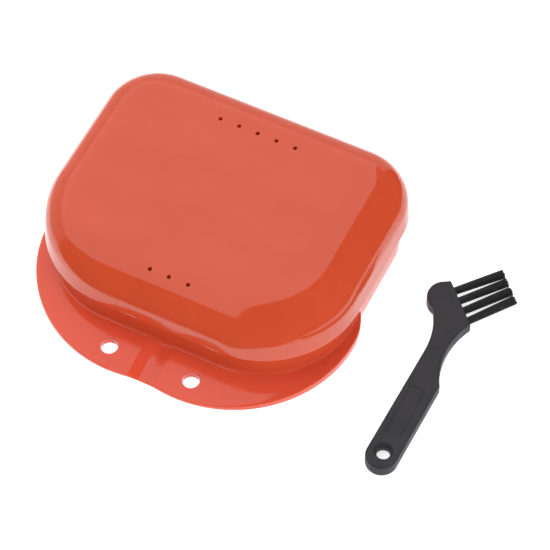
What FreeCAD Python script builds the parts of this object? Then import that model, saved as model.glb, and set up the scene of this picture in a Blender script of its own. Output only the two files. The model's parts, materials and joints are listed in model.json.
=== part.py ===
import FreeCAD, Part
import math
import os

# Snap-shut mouthguard case: base with a front flange, hinged lid, a two-layer mouthguard in the
# case and a small cleaning brush lying beside it.  Millimetres.  +Z up, the hinge at the back (+Y).
# The origin is on the surface that the case stands on, below the middle of the lid's vent rows.

V = FreeCAD.Vector
X_DIR = V(1, 0, 0)
Y_DIR = V(0, 1, 0)
Z_DIR = V(0, 0, 1)
SIDES = (-1, 1)

# Plan outline of the lid's lower edge: a D with rounder corners at the front.
HALF_WIDTH = 40.45
FRONT = 29.65
BACK = 34.85
FRONT_CORNER = 24.95
BACK_CORNER = 14.45

# Lid: a rounded shoulder that runs down into a skirt with a little draft
LID_LOW = 10.8
LID_TOP = 24.0
LID_WALL = 1.5
DOME_INSET = 0.35
SHOULDER = 9.0
HOLLOW_INSET = 2.3
RIM_POCKET = 4.5
VENT_R = 0.5
VENT_PITCH = 5.0
VENT_ROW_Y = 23.1
BACK_VENTS = 5
FRONT_VENTS = 3

# Base
BASE_INSET = 1.8
BASE_WALL = 1.4
BASE_FLOOR = 1.5
BASE_TOP = 15.0
FLOOR_FILLET = 2.0
BEAD_R = 0.5
BEAD_PROUD = 0.15
BEAD_LENGTH = 16.0
BEAD_Z = 13.5

# Flange round the front of the base: two lobes with a shallow dip between them, falling outwards
FLANGE_ROOT = 3.0
FLANGE_FALL = 0.15
FLANGE_REACH = 14.0
LOBE_R = 32.0
LOBE_X = 9.0
LOBE_Y = -7.5
DIP_HALF = 5.0
FLANGE_END_Y = 0.5
HOLE_R = 2.1
HOLE_SPACING = 21.8
HOLE_Y = -34.2
GROOVE_TOP_HALF = 3.6
GROOVE_FLOOR_HALF = 0.9
GROOVE_DEPTH = 0.7

# Hinge: a barrel on the lid with a stub pin at each end, held in two ears of the base
HINGE_Y = 36.0
HINGE_Z = 11.0
BARREL_R = 2.0
BARREL_HALF = 18.0
PIN_R = 1.1
PIN_PLAY = 0.08
PIN_LENGTH = 3.6
EAR_GAP = 0.3
EAR_WIDTH = 3.7
EAR_R = 2.4
EAR_CLEARANCE = 0.4

# Mouthguard: a firm shell with a soft liner, lying channel up in the base
GUARD_Z = BASE_FLOOR + 0.2
GUARD_HALF = 31.0
GUARD_DEPTH = 26.0
GUARD_Y = 6.0
GUARD_END_Y = 24.0
GUARD_WIDTH = 15.0
GUARD_FLOOR = 2.6
GUARD_LIP_WALL = 2.4
GUARD_TONGUE_WALL = 2.0
GUARD_HIGH = 13.0
GUARD_LOW = 9.0
LINER = 1.6

# Brush, flat on the same surface as the case
BRUSH_THICK = 3.8
GRIP_R = 3.88
GRIP_END = V(60.1, -33.5, 0)
GRIP_LEFT = V(57.0, -3.2, 0)
GRIP_RIGHT = V(64.4, -10.6, 0)
NECK_LEFT = V(56.4, 2.5, 0)
HEAD_BACK = V(53.8, 8.9, 0)
HEAD_ROUND = V(50.7, 13.2, 0)
HEAD_TURN = V(52.5, 16.6, 0)
HEAD_TOP = V(54.5, 17.8, 0)
HEAD_LOW = V(63.8, 8.4, 0)
NECK_RIGHT = V(61.8, -0.9, 0)
HANG_R = 1.6
HANG_Y = -32.6
HANG_SINK = 0.7
HANG_SINK_DEPTH = 1.2
PANEL_LENGTH = 14.5
PANEL_WIDTH = 3.9
PANEL_DEPTH = 0.4
PANEL_Y = -20.6
PANEL_SHIFT = -0.6
PANEL_CORNER = 1.0
BRUSH_EDGE = 0.6

# Tufts and the metal anchors that hold them in the head
TUFTS = 4
TUFT_PITCH = 3.04
TUFT_FIRST = 2.2
TUFT_ROOT_R = 0.95
TUFT_TIP_R = 1.22
TUFT_TIP_PITCH = 2.62
TUFT_LENGTH = 13.4
TUFT_LEAN = 7.0
TUFT_HOLE = 3.0
ANCHOR_WIDTH = 1.5
ANCHOR_HEIGHT = 1.2
ANCHOR_THICK = 0.3


def corner(centre_x, centre_y, radius, start, z):
    """Quarter circle that starts at an angle in degrees."""
    def at(angle):
        turn = math.radians(angle)
        return V(centre_x + radius * math.cos(turn), centre_y + radius * math.sin(turn), z)
    return Part.Arc(at(start), at(start + 45), at(start + 90)).toShape()


def case_wire(inset, z):
    """The case's D outline, moved in by inset, at height z."""
    half = HALF_WIDTH - inset
    front = -FRONT + inset
    back = BACK - inset
    rf = FRONT_CORNER - inset
    rb = BACK_CORNER - inset
    arcs = [
        corner(half - rf, front + rf, rf, -90, z),
        corner(half - rb, back - rb, rb, 0, z),
        corner(-half + rb, back - rb, rb, 90, z),
        corner(-half + rf, front + rf, rf, 180, z),
    ]
    edges = []
    for i, arc in enumerate(arcs):
        following = arcs[(i + 1) % len(arcs)]
        edges.append(arc)
        edges.append(Part.LineSegment(arc.Vertexes[-1].Point, following.Vertexes[0].Point).toShape())
    return Part.Wire(edges)


def case_slab(inset, low, high):
    return Part.Face(case_wire(inset, low)).extrude(V(0, 0, high - low))


def case_taper(inset_low, low, inset_high, high):
    return Part.makeLoft([case_wire(inset_low, low), case_wire(inset_high, high)], True, True)


def round_level(solid, z, radius):
    """Fillet every edge of the solid that lies flat at height z."""
    flat = [e for e in solid.Edges if abs(e.BoundBox.ZMin - z) + abs(e.BoundBox.ZMax - z) < 1e-4]
    return solid.makeFillet(radius, flat)


def bar_x(radius, x0, x1, y, z):
    """Round bar along X."""
    return Part.makeCylinder(radius, x1 - x0, V(x0, y, z), X_DIR)


def ears(radius, half, gap):
    """Round bars on the hinge axis where the base's ears are, widened by gap at each end."""
    start = BARREL_HALF + EAR_GAP - gap
    length = EAR_WIDTH + 2 * gap
    solids = []
    for side in SIDES:
        x0 = start if side > 0 else -start - length
        solids.append(bar_x(radius, x0, x0 + length, HINGE_Y, HINGE_Z))
    return solids


def skirt_meeting():
    """Inset and height where the straight skirt runs tangent into the shoulder."""
    reach = DOME_INSET + SHOULDER
    rise = LID_TOP - SHOULDER - LID_LOW
    turn = math.acos(SHOULDER / math.hypot(reach, rise)) - math.atan2(rise, reach)
    return reach - SHOULDER * math.cos(turn), LID_TOP - SHOULDER + SHOULDER * math.sin(turn)


def make_lid():
    skirt_inset, skirt_top = skirt_meeting()
    dome = round_level(case_slab(DOME_INSET, LID_LOW, LID_TOP), LID_TOP, SHOULDER)
    dome = dome.common(case_slab(0, skirt_top, LID_TOP + 1))
    skirt = case_taper(0, LID_LOW, skirt_inset, skirt_top)
    hollow = case_slab(HOLLOW_INSET, LID_LOW - 1, LID_TOP - LID_WALL)
    hollow = round_level(hollow, LID_TOP - LID_WALL, SHOULDER - LID_WALL)
    pocket = case_slab(LID_WALL, LID_LOW - 1, LID_LOW + RIM_POCKET)
    lid = dome.fuse(skirt).cut(hollow).cut(pocket)
    for notch in ears(EAR_R + EAR_CLEARANCE, BARREL_HALF, EAR_CLEARANCE):
        lid = lid.cut(notch)
    pins = BARREL_HALF + PIN_LENGTH
    lid = lid.fuse(bar_x(BARREL_R, -BARREL_HALF, BARREL_HALF, HINGE_Y, HINGE_Z))
    lid = lid.fuse(bar_x(PIN_R, -pins, pins, HINGE_Y, HINGE_Z))
    for row_y, count in ((VENT_ROW_Y, BACK_VENTS), (-VENT_ROW_Y, FRONT_VENTS)):
        for i in range(count):
            x = (i - (count - 1) / 2) * VENT_PITCH
            drill = Part.makeCylinder(VENT_R, SHOULDER, V(x, row_y, LID_TOP - SHOULDER + 1))
            lid = lid.cut(drill)
    return lid.removeSplitter()


def flange_plate(high):
    """The flange's plan, from the underside up to a height, with the ground under the base's front."""
    side_x = LOBE_X + LOBE_R
    join_x = HALF_WIDTH - BASE_INSET
    step = side_x - join_x
    run = FLANGE_END_Y - LOBE_Y
    blend_r = (step ** 2 + run ** 2) / (2 * step)
    blend_turn = math.asin(run / blend_r) / 2
    dip_y = LOBE_Y - math.sqrt(LOBE_R ** 2 - (LOBE_X - DIP_HALF) ** 2)
    dip_slope = (LOBE_X - DIP_HALF) / (LOBE_Y - dip_y)
    lobe_mid = math.radians(45)
    edges = []
    for side in SIDES:
        blend_mid = V(
            side * (side_x - blend_r * (1 - math.cos(blend_turn))),
            LOBE_Y + blend_r * math.sin(blend_turn),
            0,
        )
        lobe_side = V(side * side_x, LOBE_Y, 0)
        lobe_corner = V(
            side * (LOBE_X + LOBE_R * math.cos(lobe_mid)), LOBE_Y - LOBE_R * math.sin(lobe_mid), 0
        )
        edges.append(Part.Arc(V(side * join_x, FLANGE_END_Y, 0), blend_mid, lobe_side).toShape())
        edges.append(Part.Arc(lobe_side, lobe_corner, V(side * DIP_HALF, dip_y, 0)).toShape())
    dip = V(0, dip_y + DIP_HALF * dip_slope / 2, 0)
    edges.append(Part.Arc(V(-DIP_HALF, dip_y, 0), dip, V(DIP_HALF, dip_y, 0)).toShape())
    edges.append(
        Part.LineSegment(V(-join_x, FLANGE_END_Y, 0), V(join_x, FLANGE_END_Y, 0)).toShape()
    )
    wire = Part.Wire(Part.__sortEdges__(edges))
    return Part.Face(wire).extrude(V(0, 0, high))


def groove_cutter():
    """Flat-bottomed channel with sloping sides that follows the flange's fall from the wall out."""
    y = -(FRONT - BASE_INSET)
    length = LOBE_R - LOBE_Y + y + 1
    side_run = (GROOVE_TOP_HALF - GROOVE_FLOOR_HALF) / GROOVE_DEPTH
    over = 0.2
    half = GROOVE_TOP_HALF + over * side_run
    floor_z = FLANGE_ROOT - GROOVE_DEPTH
    points = [
        V(-half, y, FLANGE_ROOT + over),
        V(-GROOVE_FLOOR_HALF, y, floor_z),
        V(GROOVE_FLOOR_HALF, y, floor_z),
        V(half, y, FLANGE_ROOT + over),
    ]
    face = Part.Face(Part.makePolygon(points + points[:1]))
    return face.extrude(V(0, -length, -length * FLANGE_FALL))


def make_flange():
    """Flange that falls away from the wall, with two lanyard holes and a finger groove."""
    edge = FLANGE_ROOT - FLANGE_REACH * FLANGE_FALL
    slope = case_taper(BASE_INSET - FLANGE_REACH, edge, BASE_INSET, FLANGE_ROOT)
    flange = flange_plate(edge).fuse(slope.common(flange_plate(FLANGE_ROOT)))
    for side in SIDES:
        x = side * HOLE_SPACING / 2
        flange = flange.cut(Part.makeCylinder(HOLE_R, FLANGE_ROOT + 2, V(x, HOLE_Y, -1)))
    return flange.cut(groove_cutter())


def ear_web(x0):
    """The rib that carries one ear on the base's back wall."""
    wall_y = BACK - BASE_INSET - 0.4
    profile = [(wall_y, 4.0), (37.2, 9.0), (HINGE_Y, HINGE_Z), (wall_y, LID_LOW - 0.4)]
    points = [V(x0, y, z) for y, z in profile]
    return Part.Face(Part.makePolygon(points + points[:1])).extrude(V(EAR_WIDTH, 0, 0))


def make_base():
    body = case_slab(BASE_INSET, 0, BASE_TOP)
    hollow = case_slab(BASE_INSET + BASE_WALL, BASE_FLOOR, BASE_TOP + 1)
    body = body.fuse(make_flange())
    for barrel in ears(EAR_R, BARREL_HALF, 0):
        body = body.fuse(barrel).fuse(ear_web(barrel.BoundBox.XMin))
    body = body.cut(round_level(hollow, BASE_FLOOR, FLOOR_FILLET))
    for bore in ears(PIN_R + PIN_PLAY, BARREL_HALF, 1):
        body = body.cut(bore)
    bead_y = -(FRONT - BASE_INSET) + BEAD_R - BEAD_PROUD
    bead = bar_x(BEAD_R, -BEAD_LENGTH / 2, BEAD_LENGTH / 2, bead_y, BEAD_Z)
    return body.fuse(bead).removeSplitter()


def arch(outer_inset, inner_inset, low, high):
    """U-shaped prism of the guard's plan, moved in from its outer and inner outlines."""
    end = V(0, GUARD_END_Y, low)
    outer_a = GUARD_HALF - outer_inset
    outer_b = GUARD_DEPTH - outer_inset
    inner_a = GUARD_HALF - GUARD_WIDTH + inner_inset
    inner_b = GUARD_DEPTH - GUARD_WIDTH + inner_inset
    centre = V(0, GUARD_Y, low)

    def bow(a, b):
        whole = Part.Ellipse(centre, a, b)
        return Part.ArcOfEllipse(whole, math.pi, 2 * math.pi).toShape()

    edges = [bow(outer_a, outer_b), bow(inner_a, inner_b)]
    for side in SIDES:
        outer = V(side * outer_a, 0, 0)
        inner = V(side * inner_a, 0, 0)
        edges.append(Part.LineSegment(centre + outer, end + outer).toShape())
        edges.append(Part.LineSegment(centre + inner, end + inner).toShape())
        edges.append(Part.LineSegment(end + outer, end + inner).toShape())
    wire = Part.Wire(Part.__sortEdges__(edges))
    return Part.Face(wire).extrude(V(0, 0, high - low))


def lower_tongue_side(solid):
    """Cut the guard's inner wall down to its lower height."""
    cut = arch(GUARD_WIDTH / 2, -1, GUARD_Z + GUARD_LOW, GUARD_Z + GUARD_HIGH + 1)
    return solid.cut(cut)


def make_guard_shell():
    top = GUARD_Z + GUARD_HIGH
    shell = arch(0, 0, GUARD_Z, top)
    channel = arch(GUARD_LIP_WALL, GUARD_TONGUE_WALL, GUARD_Z + GUARD_FLOOR, top + 1)
    return lower_tongue_side(shell).cut(channel)


def make_guard_liner():
    top = GUARD_Z + GUARD_HIGH
    floor = GUARD_Z + GUARD_FLOOR
    liner = arch(GUARD_LIP_WALL, GUARD_TONGUE_WALL, floor, top)
    channel = arch(GUARD_LIP_WALL + LINER, GUARD_TONGUE_WALL + LINER, floor + LINER, top + 1)
    return lower_tongue_side(liner).cut(channel)


def face_direction():
    """Unit vector along the head's bristle face, from its top corner to its lower corner."""
    along = HEAD_LOW - HEAD_TOP
    return along.normalize()


def tuft_axis(index):
    """Root point on the face and unit direction of one tuft."""
    along = face_direction()
    normal = V(-along.y, along.x, 0)
    turn = FreeCAD.Rotation(Z_DIR, TUFT_LEAN)
    lean = turn.multVec(normal)
    middle = (TUFTS - 1) / 2
    root = HEAD_TOP + along * (TUFT_FIRST + index * TUFT_PITCH) + V(0, 0, BRUSH_THICK / 2)
    tip = root + lean * TUFT_LENGTH + along * ((index - middle) * (TUFT_TIP_PITCH - TUFT_PITCH))
    direction = tip - root
    return root, direction.normalize()


def make_brush_handle():
    left = GRIP_END - X_DIR * GRIP_R
    right = GRIP_END + X_DIR * GRIP_R
    outline = Part.Wire([
        Part.Arc(left, GRIP_END - Y_DIR * GRIP_R, right).toShape(),
        Part.LineSegment(right, GRIP_RIGHT).toShape(),
        Part.Arc(GRIP_RIGHT, NECK_RIGHT, HEAD_LOW).toShape(),
        Part.LineSegment(HEAD_LOW, HEAD_TOP).toShape(),
        Part.LineSegment(HEAD_TOP, HEAD_TURN).toShape(),
        Part.Arc(HEAD_TURN, HEAD_ROUND, HEAD_BACK).toShape(),
        Part.Arc(HEAD_BACK, NECK_LEFT, GRIP_LEFT).toShape(),
        Part.LineSegment(GRIP_LEFT, left).toShape(),
    ])
    handle = Part.Face(outline).extrude(V(0, 0, BRUSH_THICK))
    handle = round_level(handle, BRUSH_THICK, BRUSH_EDGE)
    handle = round_level(handle, 0, BRUSH_EDGE)
    hang = V(GRIP_END.x, HANG_Y, 0)
    handle = handle.cut(Part.makeCylinder(HANG_R, BRUSH_THICK, hang))
    mouth = HANG_R + HANG_SINK
    handle = handle.cut(Part.makeCone(mouth, HANG_R, HANG_SINK_DEPTH, hang))
    handle = handle.cut(Part.makeCone(mouth, HANG_R, HANG_SINK_DEPTH, hang + Z_DIR * BRUSH_THICK, -Z_DIR))
    panel_x = (GRIP_LEFT.x + GRIP_RIGHT.x) / 2 + PANEL_SHIFT
    panel = Part.makeBox(
        PANEL_WIDTH, PANEL_LENGTH, PANEL_DEPTH + 1,
        V(panel_x - PANEL_WIDTH / 2, PANEL_Y - PANEL_LENGTH / 2, BRUSH_THICK - PANEL_DEPTH),
    )
    upright = [e for e in panel.Edges if e.BoundBox.ZLength > PANEL_DEPTH]
    handle = handle.cut(panel.makeFillet(PANEL_CORNER, upright))
    for i in range(TUFTS):
        root, direction = tuft_axis(i)
        start = root - direction * TUFT_HOLE
        handle = handle.cut(Part.makeCylinder(TUFT_ROOT_R, TUFT_HOLE + 2, start, direction))
    return handle


def make_anchor(index):
    """Flat metal anchor across the bottom of one tuft hole."""
    root, direction = tuft_axis(index)
    across = direction.cross(Z_DIR)
    corner_point = V(-ANCHOR_THICK / 2, -ANCHOR_WIDTH / 2, 0)
    plate = Part.makeBox(ANCHOR_THICK, ANCHOR_WIDTH, ANCHOR_HEIGHT, corner_point)
    turn = FreeCAD.Rotation(across, Z_DIR, direction, "ZXY")
    plate.Placement = FreeCAD.Placement(root - direction * TUFT_HOLE, turn)
    return plate


def make_tuft(index):
    """Bundle of bristles from the bottom of its hole to its tips, split by its anchor."""
    root, direction = tuft_axis(index)
    inner = Part.makeCylinder(TUFT_ROOT_R, TUFT_HOLE, root - direction * TUFT_HOLE, direction)
    outer = Part.makeCone(TUFT_ROOT_R, TUFT_TIP_R, TUFT_LENGTH, root, direction)
    return inner.fuse(outer).removeSplitter().cut(make_anchor(index))


def make_nodes():
    nodes = {
        "base_shell": make_base(),
        "lid_shell": make_lid(),
        "guard_shell": make_guard_shell(),
        "guard_liner": make_guard_liner(),
        "brush_handle": make_brush_handle(),
    }
    for i in range(TUFTS):
        nodes[f"bristle_tuft_{i + 1}"] = make_tuft(i)
        nodes[f"tuft_anchor_{i + 1}"] = make_anchor(i)
    return nodes


os.makedirs("parts", exist_ok=True)
for name, shape in make_nodes().items():
    shape.exportStep(f"parts/{name}.step")
    print(name, "valid" if shape.isValid() else "INVALID", round(shape.Volume, 1), "mm3")
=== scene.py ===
"""Mouthguard case with its mouthguard and cleaning brush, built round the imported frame.

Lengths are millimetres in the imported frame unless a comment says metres; MM turns them into metres.
+X is the case's right, +Y the hinge at the back, +Z up.
"""
import json
import math
import random

import bmesh
import bpy
import numpy as np
from mathutils import Matrix, Vector


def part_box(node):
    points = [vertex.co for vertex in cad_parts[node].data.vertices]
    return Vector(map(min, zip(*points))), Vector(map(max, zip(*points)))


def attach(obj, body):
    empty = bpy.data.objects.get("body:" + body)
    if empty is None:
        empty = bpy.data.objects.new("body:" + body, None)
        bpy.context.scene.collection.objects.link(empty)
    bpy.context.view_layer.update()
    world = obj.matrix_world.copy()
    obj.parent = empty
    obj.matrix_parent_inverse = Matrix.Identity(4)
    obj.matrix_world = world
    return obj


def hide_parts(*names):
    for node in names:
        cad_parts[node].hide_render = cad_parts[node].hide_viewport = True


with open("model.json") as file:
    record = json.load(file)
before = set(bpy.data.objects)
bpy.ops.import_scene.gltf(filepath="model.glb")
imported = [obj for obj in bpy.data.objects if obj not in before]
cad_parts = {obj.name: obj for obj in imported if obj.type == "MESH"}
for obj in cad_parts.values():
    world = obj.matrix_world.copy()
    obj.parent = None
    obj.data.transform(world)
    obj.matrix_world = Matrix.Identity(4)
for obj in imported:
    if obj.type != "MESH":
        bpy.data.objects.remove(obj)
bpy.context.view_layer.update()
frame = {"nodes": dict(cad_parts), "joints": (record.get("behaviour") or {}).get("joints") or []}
MM = 0.001

# ---------------------------------------------------------------- the case's driving sizes

LID_LOW_CORNER, LID_HIGH_CORNER = (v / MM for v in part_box("lid_shell"))
HINGE = next(j for j in frame["joints"] if j["name"] == "lid_hinge")["pos_m"]
HINGE_Y = HINGE[1] / MM
HINGE_Z = HINGE[2] / MM

HINGE_BEHIND = 1.15
HALF_WIDTH = LID_HIGH_CORNER.x
FRONT = -LID_LOW_CORNER.y
BACK = HINGE_Y - HINGE_BEHIND
FRONT_CORNER = 24.95
BACK_CORNER = 14.45

LID_TOP = LID_HIGH_CORNER.z
LID_LOW = 10.8
LID_WALL = 1.5
LID_EDGE = 0.3
INNER_EDGE = 0.25
POCKET_EDGE = 0.15
DOME_INSET = 0.35
SHOULDER = 9.0
HOLLOW_INSET = 2.3
POCKET_TOP = 15.3

BASE_INSET = 1.8
BASE_WALL = 1.4
BASE_FLOOR = 1.5
BASE_TOP = (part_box("base_shell")[1] / MM).z
BASE_EDGE = 0.35
FLOOR_FILLET = 2.0
RIM_EDGE = 0.3
ROOT_FILLET = 0.8
FLANGE_ROOT = 3.0
FLANGE_FALL = 0.15
LOBE_R = 32.0
LOBE_X = 9.0
LOBE_Y = -7.5
DIP_HALF = 5.0
FLANGE_END_Y = 0.5
GROOVE_TOP_HALF = 3.6
GROOVE_FLOOR_HALF = 0.9
GROOVE_DEPTH = 0.7
GROOVE_BLEND = 0.35
BEAD_HALF = 8.0
BEAD_Z = 13.5
BEAD_BELOW = 0.6
BEAD_PROUD = 0.15

VENT_R = 0.5
VENT_PITCH = 5.0
VENT_ROW_Y = 23.1
VENT_FLARE = 0.08
VENT_CUT = 3
BACK_VENTS = 5
FRONT_VENTS = 3
HOLE_R = 2.1
HOLE_FLARE = 0.14
HOLE_X = 10.9
HOLE_Y = -34.2

BARREL_R = 2.0
BARREL_HALF = 18.0
PIN_R = 1.1
PIN_HALF = 21.6
BAR_EDGE = 0.25
# One less than the barrel has, so that no edges of the two line up where they join.
PIN_SEGMENTS = 47
EAR_R = 2.4
EAR_X = 18.3
EAR_WIDTH = 3.7
EAR_EDGE = 0.3
EAR_ROOM = 0.4
EAR_BORE_R = 1.18
EAR_BORE_FLARE = 0.15
# Keeps the rings of the bore's cutter off the plane of the ear's face.
OFF_PLANE = 0.01
WEB_SINK = 0.4
WEB_MARGIN = 0.02
WEB_EDGE = 0.2
WEB_LOW_Z = 4.0
WEB_BEND = (37.2, 9.0)
WEB_RISE = 0.2
WEB_DROP = 0.4
SIDES = (-1, 1)
RIGHT = (1, 0, 0)
UP = (0, 0, 1)

# ---------------------------------------------------------------- the brush's and guard's sizes

BRUSH_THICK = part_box("brush_handle")[1].z / MM
BRUSH_EDGE = 0.6
GRIP_R = 3.88
GRIP_END = Vector((60.1, -33.5))
GRIP_LEFT = Vector((57.0, -3.2))
GRIP_RIGHT = Vector((64.4, -10.6))
NECK_LEFT = Vector((56.4, 2.5))
NECK_RIGHT = Vector((61.8, -0.9))
HEAD_BACK = Vector((53.8, 8.9))
HEAD_ROUND = Vector((50.7, 13.2))
HEAD_TURN = Vector((52.5, 16.6))
HEAD_TOP = Vector((54.5, 17.8))
HEAD_LOW = Vector((63.8, 8.4))
HANG_R = 1.6
HANG_Y = -32.6
HANG_SINK = 0.7
HANG_SINK_DEPTH = 1.2
PANEL_SIZE = (3.9, 14.5)
PANEL_DEPTH = 0.25
PANEL_CORNER = 1.0
PANEL_SHIFT = -0.6
PANEL_Y = -20.6

TUFTS = 4
TUFT_PITCH = 3.04
TUFT_FIRST = 2.2
TUFT_ROOT_R = 0.95
TUFT_TIP_R = 1.22
TUFT_TIP_PITCH = 2.62
TUFT_LENGTH = 13.4
TUFT_LEAN = 7.0
TUFT_HOLE = 3.0
FILAMENTS = 80
FILAMENT_R = 0.09

GUARD_LOW_CORNER, GUARD_HIGH_CORNER = (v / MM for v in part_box("guard_shell"))
GUARD_Z = GUARD_LOW_CORNER.z
GUARD_HALF = GUARD_HIGH_CORNER.x
GUARD_END_Y = GUARD_HIGH_CORNER.y
GUARD_Y = 6.0
GUARD_DEPTH = GUARD_Y - GUARD_LOW_CORNER.y
GUARD_WIDTH = 15.0
GUARD_HIGH = GUARD_HIGH_CORNER.z - GUARD_Z
GUARD_LOW = 9.0
GUARD_FLOOR = 2.6
GUARD_LIP_WALL = 2.4
GUARD_TONGUE_WALL = 2.0
LINER = 1.6
NOTCH_DEPTH = 2.2
NOTCH_HALF = 2.6
END_FALL = 2.5
END_FALL_Y = GUARD_Y + 6
END_EDGE = 0.2
LINER_GAP = 0.02


# ---------------------------------------------------------------- mesh helpers

def to_object(name, bm):
    """Write a bmesh whose coordinates are millimetres to an object in metres."""
    bmesh.ops.remove_doubles(bm, verts=bm.verts, dist=1e-4)
    bmesh.ops.recalc_face_normals(bm, faces=bm.faces)
    bmesh.ops.scale(bm, verts=bm.verts, vec=(MM, MM, MM))
    mesh = bpy.data.meshes.new(name)
    bm.to_mesh(mesh)
    bm.free()
    obj = bpy.data.objects.new(name, mesh)
    bpy.context.scene.collection.objects.link(obj)
    return obj


def skin(loops):
    """Join closed loops of equal length with quads; the first and last close on a middle point."""
    bm = bmesh.new()
    rows = [[bm.verts.new(p) for p in loop] for loop in loops]
    count = len(rows[0])
    for low, high in zip(rows, rows[1:]):
        for i in range(count):
            j = (i + 1) % count
            bm.faces.new((low[i], low[j], high[j], high[i]))
    for row in (rows[0], rows[-1]):
        middle = bm.verts.new(sum((v.co for v in row), Vector()) / count)
        for i in range(count):
            bm.faces.new((row[i], row[(i + 1) % count], middle))
    return bm


def arc(cx, cy, radius, start, end, steps):
    """Points of an arc, angles in degrees, both ends included."""
    turns = [math.radians(start + (end - start) * i / steps) for i in range(steps + 1)]
    return [(cx + radius * math.cos(t), cy + radius * math.sin(t)) for t in turns]


def lathe(name, profile, origin, axis, segments=48):
    """Closed solid of revolution from (distance along the axis, radius) points."""
    turn = Vector((0, 0, 1)).rotation_difference(Vector(axis)).to_matrix()
    loops = []
    for along, radius in profile:
        ring = []
        for i in range(segments):
            a = 2 * math.pi * i / segments
            ring.append(Vector(origin) + turn @ Vector((radius * math.cos(a), radius * math.sin(a), along)))
        loops.append(ring)
    return to_object(name, skin(loops))


def rod(name, radius, origin, axis, length, edge=0.0, segments=48):
    """Round bar; edge is the radius of its ends' rounding."""
    if edge <= 0:
        return lathe(name, [(0, radius), (length, radius)], origin, axis, segments)
    near = [(x, r) for r, x in arc(radius - edge, edge, edge, -90, 0, 4)]
    far = [(x, r) for r, x in arc(radius - edge, length - edge, edge, 0, 90, 4)]
    return lathe(name, near + far, origin, axis, segments)


def drill(name, radius, origin, axis, low, high, flare, segments=40):
    """Cutter for a hole whose mouths, at distances low and high, are rounded by flare."""
    reach = 1.0
    near = [(low - reach, radius + flare), (low, radius + flare)]
    near += [(low + flare * math.sin(t), radius + flare * (1 - math.cos(math.pi / 2 - t)))
             for t in (math.pi / 2 * k / 4 for k in range(1, 5))]
    far = [(high + low - along, r) for along, r in reversed(near)]
    return lathe(name, near + far, origin, axis, segments)


def apply_modifiers(obj):
    """Freeze the object's modifiers into its mesh."""
    bpy.context.view_layer.update()
    depsgraph = bpy.context.evaluated_depsgraph_get()
    mesh = bpy.data.meshes.new_from_object(obj.evaluated_get(depsgraph), depsgraph=depsgraph)
    obj.modifiers.clear()
    obj.data = mesh


def carve(obj, operation, tools):
    """Boolean each tool into the object and remove the tools."""
    for tool in tools:
        modifier = obj.modifiers.new("carve", "BOOLEAN")
        modifier.operation = operation
        modifier.solver = "EXACT"
        modifier.object = tool
    apply_modifiers(obj)
    for tool in tools:
        bpy.data.objects.remove(tool)


def smooth(obj, sharp_degrees=35):
    """Smooth shading that keeps real corners, with flat faces kept flat."""
    obj.data.shade_smooth()
    obj.data.set_sharp_from_angle(angle=math.radians(sharp_degrees))
    weighted = obj.modifiers.new("weighted", "WEIGHTED_NORMAL")
    weighted.keep_sharp = True
    weighted.weight = 50
    apply_modifiers(obj)


def finish_piece(obj, body, nodes, material):
    """Hang a finished piece on its CAD body, in place of its CAD nodes."""
    obj.data.materials.clear()
    obj.data.materials.append(material)
    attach(obj, body)
    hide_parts(*nodes)


# ---------------------------------------------------------------- materials

def new_material(name):
    """Material, its node tree, its shader and the object's own coordinates in metres."""
    material = bpy.data.materials.new(name)
    material.use_nodes = True
    tree = material.node_tree
    shader = tree.nodes["Principled BSDF"]
    coords = tree.nodes.new("ShaderNodeTexCoord")
    return material, tree, shader, coords.outputs["Object"]


def noise(tree, coords, scale, detail=2.0, stretch=(1, 1, 1)):
    """Noise texture in the object's own metres; scale is cells per metre."""
    mapping = tree.nodes.new("ShaderNodeMapping")
    mapping.inputs["Scale"].default_value = stretch
    tree.links.new(coords, mapping.inputs["Vector"])
    node = tree.nodes.new("ShaderNodeTexNoise")
    node.inputs["Scale"].default_value = scale
    node.inputs["Detail"].default_value = detail
    tree.links.new(mapping.outputs["Vector"], node.inputs["Vector"])
    return node.outputs["Fac"]


def spread(tree, value, low, high, start=0.35, end=0.65):
    """Map a noise value's middle range to low..high."""
    node = tree.nodes.new("ShaderNodeMapRange")
    for name, number in (("From Min", start), ("From Max", end), ("To Min", low), ("To Max", high)):
        node.inputs[name].default_value = number
    tree.links.new(value, node.inputs["Value"])
    return node.outputs["Result"]


def mix_colours(tree, factor, first, second):
    """Blend of two colours by a value from 0 to 1."""
    node = tree.nodes.new("ShaderNodeMix")
    node.data_type = "RGBA"
    node.inputs["A"].default_value = (*first, 1)
    node.inputs["B"].default_value = (*second, 1)
    tree.links.new(factor, node.inputs["Factor"])
    return node.outputs["Result"]


def bump(tree, shader, layers):
    """Chain of bumps; each layer is (height value, distance in metres, strength)."""
    previous = None
    for height, distance, strength in layers:
        node = tree.nodes.new("ShaderNodeBump")
        node.inputs["Distance"].default_value = distance
        node.inputs["Strength"].default_value = strength
        tree.links.new(height, node.inputs["Height"])
        if previous is not None:
            tree.links.new(previous, node.inputs["Normal"])
        previous = node.outputs["Normal"]
    tree.links.new(previous, shader.inputs["Normal"])


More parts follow.
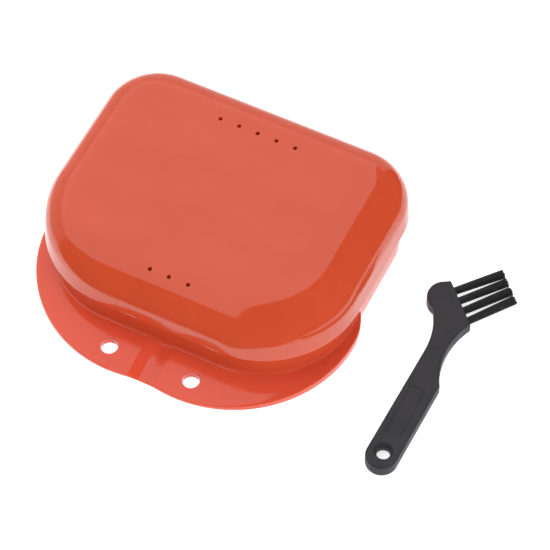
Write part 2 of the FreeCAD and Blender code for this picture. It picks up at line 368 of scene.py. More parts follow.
def case_plastic(name, painted_glow):
    """Glossy orange-red polypropylene: faint flow marks, fine orange peel, a little translucency.

    The second argument is the strength of a painted glow: a lighter tone painted by height next to the
    ground, standing in for floor light that shines through the thin plastic.
    """
    material, tree, shader, coords = new_material(name)
    flow = noise(tree, coords, 45, 3.0, (1, 2.2, 1))
    colour = mix_colours(tree, spread(tree, flow, 0, 1), (0.685, 0.084, 0.032), (0.715, 0.092, 0.036))
    # Painted glow: up to 2.4 mm above the ground the colour is a lighter painted tone, fading back to the
    # plain one by 4 mm. It stands in for floor light shining through the thin flange.
    if painted_glow:
        height = tree.nodes.new("ShaderNodeSeparateXYZ")
        tree.links.new(coords, height.inputs["Vector"])
        painted_glow_mask = spread(tree, height.outputs["Z"], painted_glow, 0.0, 0.0024, 0.0040)
        painted_glow_colour = mix_colours(tree, spread(tree, flow, 0, 1), (0.82, 0.100, 0.047), (0.84, 0.106, 0.051))
        both = tree.nodes.new("ShaderNodeMix")
        both.data_type = "RGBA"
        tree.links.new(painted_glow_mask, both.inputs["Factor"])
        tree.links.new(colour, both.inputs["A"])
        tree.links.new(painted_glow_colour, both.inputs["B"])
        colour = both.outputs["Result"]
    tree.links.new(colour, shader.inputs["Base Color"])
    haze = noise(tree, coords, 260, 4.0)
    tree.links.new(spread(tree, haze, 0.045, 0.085), shader.inputs["Roughness"])
    shader.inputs["IOR"].default_value = 1.49
    shader.inputs["Subsurface Weight"].default_value = 0.3
    shader.inputs["Subsurface Radius"].default_value = (1.0, 0.25, 0.12)
    shader.inputs["Subsurface Scale"].default_value = 0.0014
    peel = noise(tree, coords, 420, 1.0)
    bump(tree, shader, [(flow, 0.0002, 0.04), (peel, 0.00003, 0.05)])
    return material


def brush_plastic():
    """Satin charcoal plastic with a fine spark-eroded grain and light handling marks."""
    material, tree, shader, coords = new_material("brush_plastic")
    cloud = noise(tree, coords, 160, 3.0)
    colour = mix_colours(tree, spread(tree, cloud, 0, 1), (0.042, 0.041, 0.047), (0.051, 0.050, 0.056))
    tree.links.new(colour, shader.inputs["Base Color"])
    marks = noise(tree, coords, 700, 4.0, (3, 0.4, 1))
    tree.links.new(spread(tree, marks, 0.46, 0.58), shader.inputs["Roughness"])
    shader.inputs["Specular IOR Level"].default_value = 0.2
    grain = noise(tree, coords, 5200, 2.0)
    bump(tree, shader, [(grain, 0.00004, 0.35)])
    return material


def bristle_nylon():
    """Black nylon filament, a little shiny, varying from strand to strand."""
    material, tree, shader, coords = new_material("bristle_nylon")
    strands = noise(tree, coords, 2600, 1.0)
    colour = mix_colours(tree, spread(tree, strands, 0, 1), (0.018, 0.018, 0.020), (0.042, 0.042, 0.045))
    tree.links.new(colour, shader.inputs["Base Color"])
    tree.links.new(spread(tree, strands, 0.28, 0.42), shader.inputs["Roughness"])
    return material


def anchor_metal():
    """Drawn brass strip with lengthwise scratches."""
    material, tree, shader, coords = new_material("anchor_metal")
    scratches = noise(tree, coords, 3000, 4.0, (1, 1, 14))
    colour = mix_colours(tree, spread(tree, scratches, 0, 1), (0.58, 0.43, 0.20), (0.70, 0.55, 0.29))
    tree.links.new(colour, shader.inputs["Base Color"])
    shader.inputs["Metallic"].default_value = 1.0
    tree.links.new(spread(tree, scratches, 0.22, 0.40), shader.inputs["Roughness"])
    return material


def guard_rubber():
    """Black moulded EVA: satin, with a fine pebble."""
    material, tree, shader, coords = new_material("guard_rubber")
    cloud = noise(tree, coords, 120, 3.0)
    colour = mix_colours(tree, spread(tree, cloud, 0, 1), (0.020, 0.020, 0.022), (0.032, 0.031, 0.033))
    tree.links.new(colour, shader.inputs["Base Color"])
    pebble = noise(tree, coords, 1800, 3.0)
    tree.links.new(spread(tree, pebble, 0.36, 0.52), shader.inputs["Roughness"])
    bump(tree, shader, [(pebble, 0.00006, 0.30)])
    return material


def guard_gel():
    """Milky soft EVA that lets some light through."""
    material, tree, shader, coords = new_material("guard_gel")
    milk = noise(tree, coords, 180, 3.0)
    colour = mix_colours(tree, spread(tree, milk, 0, 1), (0.80, 0.78, 0.71), (0.87, 0.86, 0.81))
    tree.links.new(colour, shader.inputs["Base Color"])
    ripple = noise(tree, coords, 900, 2.0)
    tree.links.new(spread(tree, ripple, 0.22, 0.34), shader.inputs["Roughness"])
    shader.inputs["Subsurface Weight"].default_value = 0.35
    shader.inputs["Subsurface Radius"].default_value = (1.0, 0.9, 0.7)
    shader.inputs["Subsurface Scale"].default_value = 0.0012
    bump(tree, shader, [(ripple, 0.00005, 0.25)])
    return material


# ---------------------------------------------------------------- the case's outline

CORNER_STEPS = {"front": 56, "back": 36}
STRAIGHT_STEPS = {"front": 124, "side": 24, "back": 36}


def case_columns():
    """Outline as (centre x, centre y, normal x, normal y, radius), anticlockwise from the front left."""
    columns = []
    fx, fy = HALF_WIDTH - FRONT_CORNER, -FRONT + FRONT_CORNER
    bx, by = HALF_WIDTH - BACK_CORNER, BACK - BACK_CORNER

    def turn(cx, cy, radius, start, steps):
        for i in range(steps):
            a = math.radians(start + 90 * i / steps)
            columns.append((cx, cy, math.cos(a), math.sin(a), radius))

    def run(x0, y0, x1, y1, nx, ny, radius, steps):
        for i in range(steps):
            t = i / steps
            columns.append((x0 + (x1 - x0) * t, y0 + (y1 - y0) * t, nx, ny, radius))

    run(-fx, fy, fx, fy, 0, -1, FRONT_CORNER, STRAIGHT_STEPS["front"])
    turn(fx, fy, FRONT_CORNER, -90, CORNER_STEPS["front"])
    run(bx, fy, bx, by, 1, 0, BACK_CORNER, STRAIGHT_STEPS["side"])
    turn(bx, by, BACK_CORNER, 0, CORNER_STEPS["back"])
    run(bx, by, -bx, by, 0, 1, BACK_CORNER, STRAIGHT_STEPS["back"])
    turn(-bx, by, BACK_CORNER, 90, CORNER_STEPS["back"])
    run(-bx, by, -bx, fy, -1, 0, BACK_CORNER, STRAIGHT_STEPS["side"])
    turn(-fx, fy, FRONT_CORNER, 180, CORNER_STEPS["front"])
    return columns


COLUMNS = case_columns()
FILL = (0.35, 0.7)


def case_loop(inset, z):
    """The D outline moved in by inset, at height z."""
    return [(cx + nx * (r - inset), cy + ny * (r - inset), z) for cx, cy, nx, ny, r in COLUMNS]


def shrunk(loop, share):
    """The loop drawn in towards the middle of the case, for filling a flat face."""
    middle = (BACK - FRONT) / 2
    return [(x * share, middle + (y - middle) * share, z) for x, y, z in loop]


# ---------------------------------------------------------------- lid

def lid_profile():
    """(inset, z) from the edge of the roof's underside, round the lower edge, to the flat top."""
    roof = LID_TOP - LID_WALL
    inner_r = SHOULDER - LID_WALL
    points = arc(HOLLOW_INSET + inner_r, roof - inner_r, inner_r, 90, 176, 16)
    points += [
        (HOLLOW_INSET - POCKET_EDGE, POCKET_TOP),
        (LID_WALL + POCKET_EDGE, POCKET_TOP),
        (LID_WALL, POCKET_TOP - POCKET_EDGE),
    ]
    points += arc(LID_WALL - INNER_EDGE, LID_LOW + INNER_EDGE, INNER_EDGE, 0, -90, 4)
    points += arc(LID_EDGE + 0.02, LID_LOW + LID_EDGE, LID_EDGE, -90, -178, 6)
    reach = DOME_INSET + SHOULDER
    rise = LID_TOP - SHOULDER - LID_LOW
    turn = math.degrees(math.acos(SHOULDER / math.hypot(reach, rise)) - math.atan2(rise, reach))
    shoulder = arc(reach, LID_TOP - SHOULDER, SHOULDER, 180 - turn, 90, 40)
    skirt_inset, skirt_top = shoulder[0]
    for share in (0.2, 0.4, 0.6, 0.8):
        points.append((skirt_inset * share, LID_LOW + (skirt_top - LID_LOW) * share))
    return points + shoulder


def make_lid(material):
    """Domed lid with its hinge barrel, pins and vents."""
    profile = lid_profile()
    loops = [case_loop(inset, z) for inset, z in profile]
    loops = [shrunk(loops[0], s) for s in FILL] + loops + [shrunk(loops[-1], s) for s in reversed(FILL)]
    lid = to_object("lid", skin(loops))
    notches = []
    for side in SIDES:
        notch_x = side * (EAR_X + EAR_WIDTH / 2) - EAR_WIDTH / 2 - EAR_ROOM
        width = EAR_WIDTH + 2 * EAR_ROOM
        notches.append(rod("notch", EAR_R + EAR_ROOM, (notch_x, HINGE_Y, HINGE_Z), RIGHT, width))
    carve(lid, "DIFFERENCE", notches)
    barrel = rod("barrel", BARREL_R, (-BARREL_HALF, HINGE_Y, HINGE_Z), RIGHT, 2 * BARREL_HALF, BAR_EDGE)
    pin = rod("pin", PIN_R, (-PIN_HALF, HINGE_Y, HINGE_Z), RIGHT, 2 * PIN_HALF, BAR_EDGE, PIN_SEGMENTS)
    carve(lid, "UNION", [barrel, pin])
    vents = []
    for row_y, count in ((VENT_ROW_Y, BACK_VENTS), (-VENT_ROW_Y, FRONT_VENTS)):
        for i in range(count):
            x = (i - (count - 1) / 2) * VENT_PITCH
            place = (x, row_y, 0)
            vents.append(drill("vent", VENT_R, place, UP, LID_TOP - VENT_CUT, LID_TOP, VENT_FLARE, 28))
    carve(lid, "DIFFERENCE", vents)
    smooth(lid)
    finish_piece(lid, "lid", ["lid_shell"], material)


# ---------------------------------------------------------------- base

def flange_outline():
    """Dense polyline of the flange's front edge, from the right side round to the left."""
    join_x = HALF_WIDTH - BASE_INSET
    side_x = LOBE_X + LOBE_R
    step = side_x - join_x
    rise = FLANGE_END_Y - LOBE_Y
    blend_r = (step ** 2 + rise ** 2) / (2 * step)
    sweep = math.degrees(math.asin(rise / blend_r))
    dip_angle = math.degrees(math.asin((LOBE_X - DIP_HALF) / LOBE_R))
    points = arc(side_x - blend_r, LOBE_Y, blend_r, sweep, 0, 16)
    points += arc(LOBE_X, LOBE_Y, LOBE_R, 0, -90 - dip_angle, 90)[1:]
    dip_r = DIP_HALF / math.sin(math.radians(dip_angle))
    dip_y = points[-1][1] - dip_r * math.cos(math.radians(dip_angle))
    points += arc(0, dip_y, dip_r, 90 - dip_angle, 90, 10)[1:]
    return np.array(points + [(-x, y) for x, y in reversed(points[:-1])])


def reach_to(outline, x, y, nx, ny):
    """Distance from (x, y) along a normal to a polyline, 0 where it isn't met."""
    a = outline[:-1] - (x, y)
    d = outline[1:] - outline[:-1]
    cross = nx * d[:, 1] - ny * d[:, 0]
    with np.errstate(divide="ignore", invalid="ignore"):
        along = (a[:, 0] * d[:, 1] - a[:, 1] * d[:, 0]) / cross
        share = (a[:, 0] * ny - a[:, 1] * nx) / cross
    hit = (share >= -1e-9) & (share <= 1 + 1e-9) & (along > 0)
    return float(along[hit].min()) if hit.any() else 0.0


def groove_depth(x):
    """Depth of the flat-bottomed groove with sloping sides that crosses the flange at its middle."""
    slope = GROOVE_DEPTH / (GROOVE_TOP_HALF - GROOVE_FLOOR_HALF)

    def soft_ramp(distance):
        if distance <= -GROOVE_BLEND:
            return 0.0
        if distance >= GROOVE_BLEND:
            return distance
        return (distance + GROOVE_BLEND) ** 2 / (4 * GROOVE_BLEND)

    down = soft_ramp(GROOVE_TOP_HALF - abs(x)) - soft_ramp(GROOVE_FLOOR_HALF - abs(x))
    return min(GROOVE_DEPTH, slope * down)


def base_outer_column(width):
    """(distance out from the wall, z, share of the groove) up one column of the outside."""
    def top(out):
        return FLANGE_ROOT - FLANGE_FALL * out

    edge = min(0.3, width / 3)
    foot = min(ROOT_FILLET, 0.5 * width)
    points = [(d, z, 0) for d, z in arc(width - BASE_EDGE, BASE_EDGE, BASE_EDGE, -90, 0, 4)]
    points += [(d, z, 1) for d, z in arc(width - edge, top(width) - edge, edge, 0, 85, 4)]
    flat = width - edge - foot
    points += [(foot + flat * share, top(foot + flat * share), 1) for share in (0.96, 0.72, 0.48, 0.24, 0.04)]
    for i in range(9):
        t = math.pi / 2 * i / 8
        points.append((foot * (1 - math.sin(t)), top(foot) + foot * (1 - math.cos(t)), 1 - (i / 8) ** 2))
    low = top(foot) + foot
    for share in (0.2, 0.4, 0.6, 0.8, 1.0):
        points.append((0, low + (BEAD_Z - BEAD_BELOW - low) * share, 0))
    return points


def make_base_shell():
    """Tray with its lip, bead and front flange, before the ears and holes."""
    outline = flange_outline()
    outer = []
    for cx, cy, nx, ny, r in COLUMNS:
        x, y = cx + nx * (r - BASE_INSET), cy + ny * (r - BASE_INSET)
        width = reach_to(outline, x, y, nx, ny) if y < FLANGE_END_Y else 0.0
        column = []
        for out, z, grooved in base_outer_column(width):
            px, py = x + nx * out, y + ny * out
            column.append((px, py, z - grooved * groove_depth(px)))
        outer.append(column)
    loops = [list(loop) for loop in zip(*outer)]
    bead_bumps = ((BEAD_Z - 0.4, 0.1), (BEAD_Z - 0.2, 0.8), (BEAD_Z, 1.0), (BEAD_Z + 0.2, 0.8),
                  (BEAD_Z + 0.4, 0.1))
    for z, share in bead_bumps:
        loop = []
        for x, y, _ in case_loop(BASE_INSET, z):
            on_bead = y < -FRONT + BASE_INSET + 0.01
            fade = max(0.0, min(1.0, BEAD_HALF - abs(x))) if on_bead else 0.0
            loop.append((x, y - BEAD_PROUD * share * fade, z))
        loops.append(loop)
    inner = BASE_INSET + BASE_WALL
    rim = arc(BASE_INSET + RIM_EDGE, BASE_TOP - RIM_EDGE, RIM_EDGE, 180, 90, 5)
    rim += arc(inner - RIM_EDGE, BASE_TOP - RIM_EDGE, RIM_EDGE, 90, 0, 5)
    rim += [(inner, z) for z in (11.0, 8.0, 5.0)]
    rim += arc(inner + FLOOR_FILLET, BASE_FLOOR + FLOOR_FILLET, FLOOR_FILLET, 180, 270, 8)
    loops += [case_loop(inset, z) for inset, z in rim]
    under = [shrunk(loops[0], s) for s in FILL]
    floor = [shrunk(loops[-1], s) for s in reversed(FILL)]
    return to_object("base", skin(under + loops + floor))


def prism(name, profile, x0, x1, edge):
    """Solid with a profile in the YZ plane, between two X values, its edges bevelled."""
    bm = bmesh.new()
    near = [bm.verts.new((x0, y, z)) for y, z in profile]
    far = [bm.verts.new((x1, y, z)) for y, z in profile]
    bm.faces.new(near)
    bm.faces.new(reversed(far))
    for i in range(len(profile)):
        j = (i + 1) % len(profile)
        bm.faces.new((near[i], far[i], far[j], near[j]))
    bmesh.ops.bevel(bm, geom=list(bm.edges), offset=edge, segments=3, affect="EDGES", profile=0.5)
    return to_object(name, bm)


def make_base(material):
    """Base shell with its two hinge ears and two lanyard holes."""
    base = make_base_shell()
    wall_y = BACK - BASE_INSET - WEB_SINK
    web_profile = [(wall_y, WEB_LOW_Z), WEB_BEND, (HINGE_Y, HINGE_Z + WEB_RISE), (wall_y, LID_LOW - WEB_DROP)]
    for side in SIDES:
        x0 = EAR_X if side > 0 else -EAR_X - EAR_WIDTH
        x1 = x0 + EAR_WIDTH
        web = prism("web", web_profile, x0 + WEB_MARGIN, x1 - WEB_MARGIN, WEB_EDGE)
        knuckle = rod("knuckle", EAR_R, (x0, HINGE_Y, HINGE_Z), RIGHT, EAR_WIDTH, EAR_EDGE)
        bore = drill("bore", EAR_BORE_R, (0, HINGE_Y, HINGE_Z), RIGHT,
                     x0 - OFF_PLANE, x1 + OFF_PLANE, EAR_BORE_FLARE)
        carve(base, "UNION", [web])
        carve(base, "UNION", [knuckle])
        carve(base, "DIFFERENCE", [bore])
    hole_top = FLANGE_ROOT - FLANGE_FALL * (BASE_INSET - FRONT - HOLE_Y)
    for side in SIDES:
        hole = drill("hole", HOLE_R, (side * HOLE_X, HOLE_Y, 0), UP, 0, hole_top, HOLE_FLARE, 52)
        carve(base, "DIFFERENCE", [hole])
    smooth(base)
    finish_piece(base, "base", ["base_shell"], material)


# ---------------------------------------------------------------- brush

def three_point_arc(first, middle, last, steps):
    """Points of the circle arc through three points, both ends included."""
    ax, ay, bx, by = *(middle - first), *(last - first)
    d = 2 * (ax * by - ay * bx)
    ux = (by * (ax * ax + ay * ay) - ay * (bx * bx + by * by)) / d
    uy = (ax * (bx * bx + by * by) - bx * (ax * ax + ay * ay)) / d
    centre = first + Vector((ux, uy))
    a0, a1, a2 = (math.atan2(*reversed(p - centre)) for p in (first, middle, last))
    turn = (a2 - a0) % (2 * math.pi)
    if (a1 - a0) % (2 * math.pi) > turn:
        turn -= 2 * math.pi
    r = (first - centre).length
    return [(centre.x + r * math.cos(a0 + turn * i / steps), centre.y + r * math.sin(a0 + turn * i / steps))
            for i in range(steps + 1)]


def brush_outline():
    """Plan outline of the brush's handle, anticlockwise from the left of the grip's end."""
    left = GRIP_END - Vector((GRIP_R, 0))
    right = GRIP_END + Vector((GRIP_R, 0))
    points = three_point_arc(left, GRIP_END - Vector((0, GRIP_R)), right, 40)
    points += three_point_arc(GRIP_RIGHT, NECK_RIGHT, HEAD_LOW, 40)
    points += [tuple(HEAD_TOP)]
    points += three_point_arc(HEAD_TURN, HEAD_ROUND, HEAD_BACK, 32)
    points += three_point_arc(HEAD_BACK, NECK_LEFT, GRIP_LEFT, 28)[1:]
    return points


def outline_mesh(name, outline, thick, edge):
    """Flat plate with a closed outline and rounded edges all round."""
    curve = bpy.data.curves.new(name, "CURVE")
    curve.dimensions = "2D"
    curve.fill_mode = "BOTH"
    curve.extrude = (thick / 2 - edge) * MM
    curve.bevel_depth = edge * MM
    curve.bevel_resolution = 4
    curve.offset = -edge * MM
    spline = curve.splines.new("POLY")
    spline.points.add(len(outline) - 1)
    for point, (x, y) in zip(spline.points, outline):
        point.co = (x * MM, y * MM, 0, 1)
    spline.use_cyclic_u = True
    source = bpy.data.objects.new(name, curve)
    bpy.context.scene.collection.objects.link(source)
    bpy.context.view_layer.update()
    mesh = bpy.data.meshes.new_from_object(source.evaluated_get(bpy.context.evaluated_depsgraph_get()))
    bpy.data.objects.remove(source)
    mesh.transform(Matrix.Translation((0, 0, thick / 2 * MM)))
    bm = bmesh.new()
    bm.from_mesh(mesh)
    bmesh.ops.remove_doubles(bm, verts=bm.verts, dist=1e-7)
    bmesh.ops.recalc_face_normals(bm, faces=bm.faces)
    bm.to_mesh(mesh)
    bm.free()
    obj = bpy.data.objects.new(name, mesh)
    bpy.context.scene.collection.objects.link(obj)
    return obj


def tuft_axis(index):
    """Root on the head's face and unit direction of one tuft."""
    along = (HEAD_LOW - HEAD_TOP).normalized().to_3d()
    normal = Vector((-along.y, along.x, 0))
    lean = Matrix.Rotation(math.radians(TUFT_LEAN), 3, "Z") @ normal
    root = HEAD_TOP.to_3d() + along * (TUFT_FIRST + index * TUFT_PITCH) + Vector((0, 0, BRUSH_THICK / 2))
    shift = along * ((index - (TUFTS - 1) / 2) * (TUFT_TIP_PITCH - TUFT_PITCH))
    return root, (lean * TUFT_LENGTH + shift).normalized()


def panel_cutter():
    """Cutter for the grip's sunk panel: a rounded rectangle with soft lower and upper edges."""
    half_width, half_length = PANEL_SIZE[0] / 2, PANEL_SIZE[1] / 2
    cx = (GRIP_LEFT.x + GRIP_RIGHT.x) / 2 + PANEL_SHIFT
    low = BRUSH_THICK - PANEL_DEPTH
    loops = []
    for grow, z in ((-0.6, low), (-0.3, low), (-0.1, low + 0.05), (0.0, low + 0.15),
                    (0.06, BRUSH_THICK - 0.02), (0.2, BRUSH_THICK + 0.05), (0.2, BRUSH_THICK + 1)):
        loop = []
        for sx, sy, start in ((1, -1, -90), (1, 1, 0), (-1, 1, 90), (-1, -1, 180)):
            corner_x = cx + sx * (half_width - PANEL_CORNER)
            corner_y = PANEL_Y + sy * (half_length - PANEL_CORNER)
            loop += [(x, y, z) for x, y in arc(corner_x, corner_y, PANEL_CORNER + grow, start, start + 90, 8)]
        loops.append(loop)
    return to_object("panel", skin(loops))


def hang_hole_cutter():
    """Cutter for the hanging hole, countersunk from both faces."""
    mouth = HANG_R + HANG_SINK
    half = [
        (-1.0, mouth + 0.15),
        (0.0, mouth + 0.05),
        (0.12, mouth - 0.08),
        (HANG_SINK_DEPTH - 0.1, HANG_R + 0.06),
        (HANG_SINK_DEPTH + 0.1, HANG_R),
    ]
    profile = half + [(BRUSH_THICK - along, r) for along, r in reversed(half)]
    return lathe("hang_hole", profile, (GRIP_END.x, HANG_Y, 0), UP, 44)


def make_brush_handle(material):
    """Brush handle with its sunk panel, hanging hole and tuft holes."""
    handle = outline_mesh("brush_grip", brush_outline(), BRUSH_THICK, BRUSH_EDGE)
    tools = [panel_cutter(), hang_hole_cutter()]
    for i in range(TUFTS):
        root, direction = tuft_axis(i)
        start = root - direction * TUFT_HOLE
        tools.append(rod("tuft_hole", TUFT_ROOT_R, start, direction, TUFT_HOLE + 2, segments=32))
    carve(handle, "DIFFERENCE", tools)
    smooth(handle, 40)
    finish_piece(handle, "brush", ["brush_handle"], material)


def filament(bm, root, tip, bend, radius):
    """Thin hexagonal rod from root to tip, bowed sideways by bend, with a rounded end."""
    along = (tip - root).normalized()
    side = along.orthogonal().normalized()
    other = along.cross(side)
    stations = [(0.0, 1.0), (0.2, 1.0), (0.45, 1.0), (0.7, 1.0), (0.9, 1.0), (0.992, 1.0), (1.0, 0.6)]
    rows = []
    for share, width in stations:
        centre = root.lerp(tip, share) + bend * share * share
        rows.append([
            bm.verts.new(centre + (side * math.cos(a) + other * math.sin(a)) * radius * width)
            for a in (math.pi / 3 * k for k in range(6))
        ])
    for low, high in zip(rows, rows[1:]):
        for i in range(6):
            j = (i + 1) % 6
            bm.faces.new((low[i], low[j], high[j], high[i]))
    bm.faces.new(reversed(rows[0]))
    bm.faces.new(rows[-1])


def make_tuft(index, material):
    """Bundle of separate nylon filaments, packed at the root and a little splayed at the tips."""
    chance = random.Random(40 + index)
    root, direction = tuft_axis(index)
    side = direction.cross(Vector((0, 0, 1))).normalized()
    up = side.cross(direction)
    bm = bmesh.new()
    room = TUFT_ROOT_R - FILAMENT_R - 0.03
    splay = (TUFT_TIP_R - FILAMENT_R) / room
    for k in range(FILAMENTS):
        r = room * math.sqrt((k + 0.5) / FILAMENTS)
        a = k * math.pi * (3 - math.sqrt(5)) + chance.uniform(-0.1, 0.1)
        inner = side * math.cos(a) * r + up * math.sin(a) * r
        wander = Vector((chance.gauss(0, 0.05), chance.gauss(0, 0.05), 0))
        outer = inner * splay * chance.uniform(0.95, 1.0)
        length = TUFT_LENGTH - abs(chance.gauss(0, 0.22)) - 0.05
        start = root - direction * (TUFT_HOLE - 0.1) + inner
        bend = side * wander.x + up * wander.y
        filament(bm, start, root + direction * length + outer - bend, bend, FILAMENT_R)
    tuft = to_object(f"tuft_{index + 1}", bm)
    tuft.data.shade_smooth()
    tuft.data.set_sharp_from_angle(angle=math.radians(75))
    finish_piece(tuft, "brush", [f"bristle_tuft_{index + 1}"], material)


# ---------------------------------------------------------------- mouthguard

def rounded(points, radii, steps=5):
    """Closed polygon with each corner rounded by its radius."""
    result = []
    count = len(points)
    for i, (point, radius) in enumerate(zip(points, radii)):
        here = Vector(point)
        before = (Vector(points[i - 1]) - here).normalized()
        after = (Vector(points[(i + 1) % count]) - here).normalized()
        half = math.acos(max(-1, min(1, before.dot(after)))) / 2
        reach = radius / math.tan(half)
        start, end = here + before * reach, here + after * reach
        for k in range(steps + 1):
            t = k / steps
            result.append(tuple(start.lerp(here, t).lerp(here.lerp(end, t), t)))
    return result


def guard_path():
    """Pairs of (outer point, inner point) along the U, left leg to right leg."""
    inner_a, inner_b = GUARD_HALF - GUARD_WIDTH, GUARD_DEPTH - GUARD_WIDTH
    pairs = []
    leg = GUARD_END_Y - GUARD_Y
    for i in range(8):
        y = GUARD_END_Y - leg * i / 8
        pairs.append((Vector((-GUARD_HALF, y, 0)), Vector((-inner_a, y, 0))))
    for i in range(97):
        t = math.pi + math.pi * i / 96
        pairs.append((
            Vector((GUARD_HALF * math.cos(t), GUARD_Y + GUARD_DEPTH * math.sin(t), 0)),
            Vector((inner_a * math.cos(t), GUARD_Y + inner_b * math.sin(t), 0)),
        ))
    pairs += [(Vector((-o.x, o.y, 0)), Vector((-i.x, i.y, 0))) for o, i in reversed(pairs[:8])]
    return pairs


def sweep_guard(name, section):
    """Sweep a section, given as a function of (width, lip wall's height), round the U."""
    bm = bmesh.new()
    rows = []
    for outer, inner in guard_path():
        across = inner - outer
        width = across.length
        across.normalize()
        centre = (outer.x + inner.x) / 2
        front = max(0.0, 1 - abs(outer.x) / NOTCH_HALF) if outer.y < 0 else 0.0
        lip = GUARD_HIGH - NOTCH_DEPTH * front * front * (3 - 2 * front)
        back = max(0.0, (outer.y - END_FALL_Y) / (GUARD_END_Y - END_FALL_Y))
        lip -= END_FALL * back * back
        row = [bm.verts.new(outer + across * u + Vector((0, 0, GUARD_Z + z))) for u, z in section(width, lip)]
        rows.append(row)
    count = len(rows[0])
    for low, high in zip(rows, rows[1:]):
        for i in range(count):
            j = (i + 1) % count
            bm.faces.new((low[i], low[j], high[j], high[i]))
    ends = [bm.faces.new(rows[0]), bm.faces.new(reversed(rows[-1]))]
    bmesh.ops.recalc_face_normals(bm, faces=bm.faces)
    edges = list({edge for face in ends for edge in face.edges})
    bmesh.ops.bevel(bm, geom=edges, offset=END_EDGE, segments=3, affect="EDGES", profile=0.5)
    caps = [face for face in bm.faces if len(face.verts) > 4]
    bmesh.ops.triangulate(bm, faces=caps, ngon_method="EAR_CLIP")
    obj = to_object(name, bm)
    smooth(obj, 50)
    return obj


def shell_section(width, lip):
    """Channel section of the firm tray."""
    inner = width - GUARD_TONGUE_WALL
    return rounded(
        [(0, 0), (0, lip), (GUARD_LIP_WALL, lip), (GUARD_LIP_WALL, GUARD_FLOOR), (inner, GUARD_FLOOR),
         (inner, GUARD_LOW), (width, GUARD_LOW), (width, 0)],
        [2.2, 1.1, 0.5, 0.6, 0.6, 0.5, 0.9, 2.2],
    )


def liner_section(width, lip):
    """Channel section of the soft liner, a hair clear of the tray."""
    outer = GUARD_LIP_WALL + LINER_GAP
    inner = width - GUARD_TONGUE_WALL - LINER_GAP
    floor = GUARD_FLOOR + LINER_GAP
    return rounded(
        [(outer, floor), (outer, lip), (outer + LINER, lip), (outer + LINER, floor + LINER),
         (inner - LINER, floor + LINER), (inner - LINER, GUARD_LOW), (inner, GUARD_LOW), (inner, floor)],
        [0.62, 0.3, 0.75, 1.8, 1.8, 0.75, 0.3, 0.62],
    )


def make_guard():
    """The mouthguard's firm tray and its soft liner."""
    shell = sweep_guard("guard_tray", shell_section)
    finish_piece(shell, "guard", ["guard_shell"], guard_rubber())
    liner = sweep_guard("guard_gel_liner", liner_section)
    finish_piece(liner, "guard", ["guard_liner"], guard_gel())


# ---------------------------------------------------------------- stage, camera, run

FLOOR_PAINT = 0.93


def make_white(name, paint, emission, size_x, size_y):
    """White rectangle on the ground between two X and two Y values."""
    material, _, shader, _ = new_material(name)
    shader.inputs["Base Color"].default_value = (paint, paint, paint, 1)
    shader.inputs["Roughness"].default_value = 0.9
    shader.inputs["Specular IOR Level"].default_value = 0.0
    shader.inputs["Emission Color"].default_value = (1, 1, 1, 1)
    shader.inputs["Emission Strength"].default_value = emission
    bm = bmesh.new()
    corners = [(size_x[0], size_y[0]), (size_x[1], size_y[0]), (size_x[1], size_y[1]), (size_x[0], size_y[1])]
    bm.faces.new([bm.verts.new((x, y, 0)) for x, y in corners])
    sheet = to_object(name, bm)
    sheet.data.materials.append(material)
    return sheet


def make_floor():
    """Wide white floor in three close sheets: one for the camera, one for mirroring, one for bounce."""
    wide = (-3000, 3000)
    seen = make_white("floor", FLOOR_PAINT, 0.75, wide, wide)
    seen.visible_glossy = False
    seen.visible_diffuse = False
    seen.visible_shadow = False
    mirrored = make_white("mirrored_sheet", 0.0, 1.35, (-85, 95), (-42, 90))
    mirrored.location.z = -0.0001
    mirrored.visible_camera = False
    mirrored.visible_diffuse = False
    mirrored.visible_shadow = False
    mirrored.visible_transmission = False
    bounce = make_white("bounce_sheet", FLOOR_PAINT, 0.22, wide, wide)
    bounce.location.z = -0.0002
    bounce.visible_camera = False
    bounce.visible_glossy = False
    bounce.visible_transmission = False


def area_light(name, position, target, size, radiance, seen=True):
    """White rectangular softbox, in metres; seen says whether shiny surfaces mirror it."""
    light = bpy.data.lights.new(name, "AREA")
    light.shape = "RECTANGLE"
    light.size, light.size_y = size
    light.energy = radiance * math.pi * size[0] * size[1]
    lamp = bpy.data.objects.new(name, light)
    bpy.context.scene.collection.objects.link(lamp)
    lamp.location = position
    lamp.rotation_euler = (Vector(target) - Vector(position)).to_track_quat("-Z", "Y").to_euler()
    lamp.visible_camera = False
    lamp.visible_glossy = seen


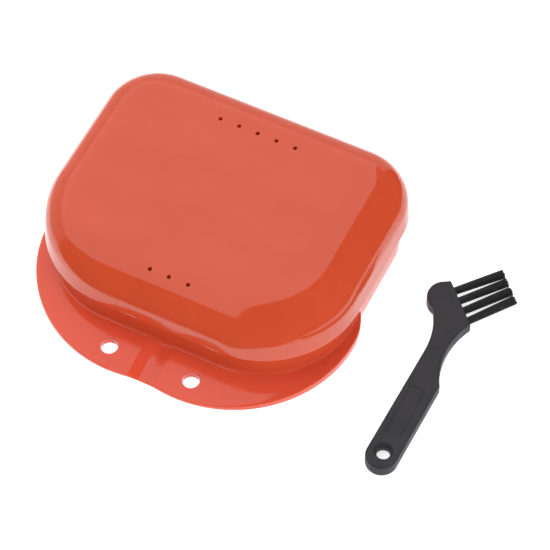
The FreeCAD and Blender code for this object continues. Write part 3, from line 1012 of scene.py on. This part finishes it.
def light_stage():
    """Overhead softbox whose right edge draws the lid's bright top, two dim walls, a fill and the sky."""
    left, right, near, far = -2.4, -0.058, -1.0, 2.0
    middle_x, middle_y = (left + right) / 2, (near + far) / 2
    area_light("softbox", (middle_x, middle_y, 1.0), (middle_x, middle_y, 0), (right - left, far - near), 1.3)
    area_light("back_wall", (-1.17, 2.2, 0.05), (-1.17, 0, 0.05), (2.94, 2.1), 0.7)
    area_light("left_wall", (-2.64, 0.55, 0.05), (0, 0.55, 0.05), (3.3, 2.1), 0.6)
    area_light("fill", (1.4, -0.4, 0.75), (0, 0, 0.01), (1.3, 1.0), 3.6, seen=False)
    world = bpy.data.worlds.new("world")
    world.use_nodes = True
    world.node_tree.nodes["Background"].inputs["Color"].default_value = (1, 1, 1, 1)
    world.node_tree.nodes["Background"].inputs["Strength"].default_value = 0.27
    world.cycles_visibility.glossy = False
    bpy.context.scene.world = world
    bpy.context.scene.view_settings.view_transform = "Standard"


# Degrees to the right of the front, degrees above the ground, metres, and millimetres of lens.
CAMERA_AZIMUTH = 26.3
CAMERA_ELEVATION = 55.65
CAMERA_DISTANCE = 0.6896
CAMERA_LENS = 186.3
CAMERA_TARGET = Vector((0.01474, 0.00267, 0.0))


def make_camera():
    a, e = math.radians(CAMERA_AZIMUTH), math.radians(CAMERA_ELEVATION)
    back = Vector((math.sin(a) * math.cos(e), -math.cos(a) * math.cos(e), math.sin(e)))
    data = bpy.data.cameras.new("camera")
    data.lens = CAMERA_LENS
    data.sensor_width = 36.0
    data.clip_start, data.clip_end = 0.01, 20.0
    camera = bpy.data.objects.new("camera", data)
    bpy.context.scene.collection.objects.link(camera)
    camera.location = CAMERA_TARGET + back * CAMERA_DISTANCE
    camera.rotation_euler = (-back).to_track_quat("-Z", "Y").to_euler()
    bpy.context.scene.camera = camera


make_lid(case_plastic("case_plastic", 0.0))
# The base's material takes the full painted glow near the ground; the lid's takes none.
make_base(case_plastic("case_plastic_base", 1.0))
make_guard()
make_brush_handle(brush_plastic())
nylon = bristle_nylon()
brass = anchor_metal()
for number in range(TUFTS):
    make_tuft(number, nylon)
    anchor = frame["nodes"][f"tuft_anchor_{number + 1}"]
    anchor.data.materials.clear()
    anchor.data.materials.append(brass)

make_floor()
light_stage()
make_camera()
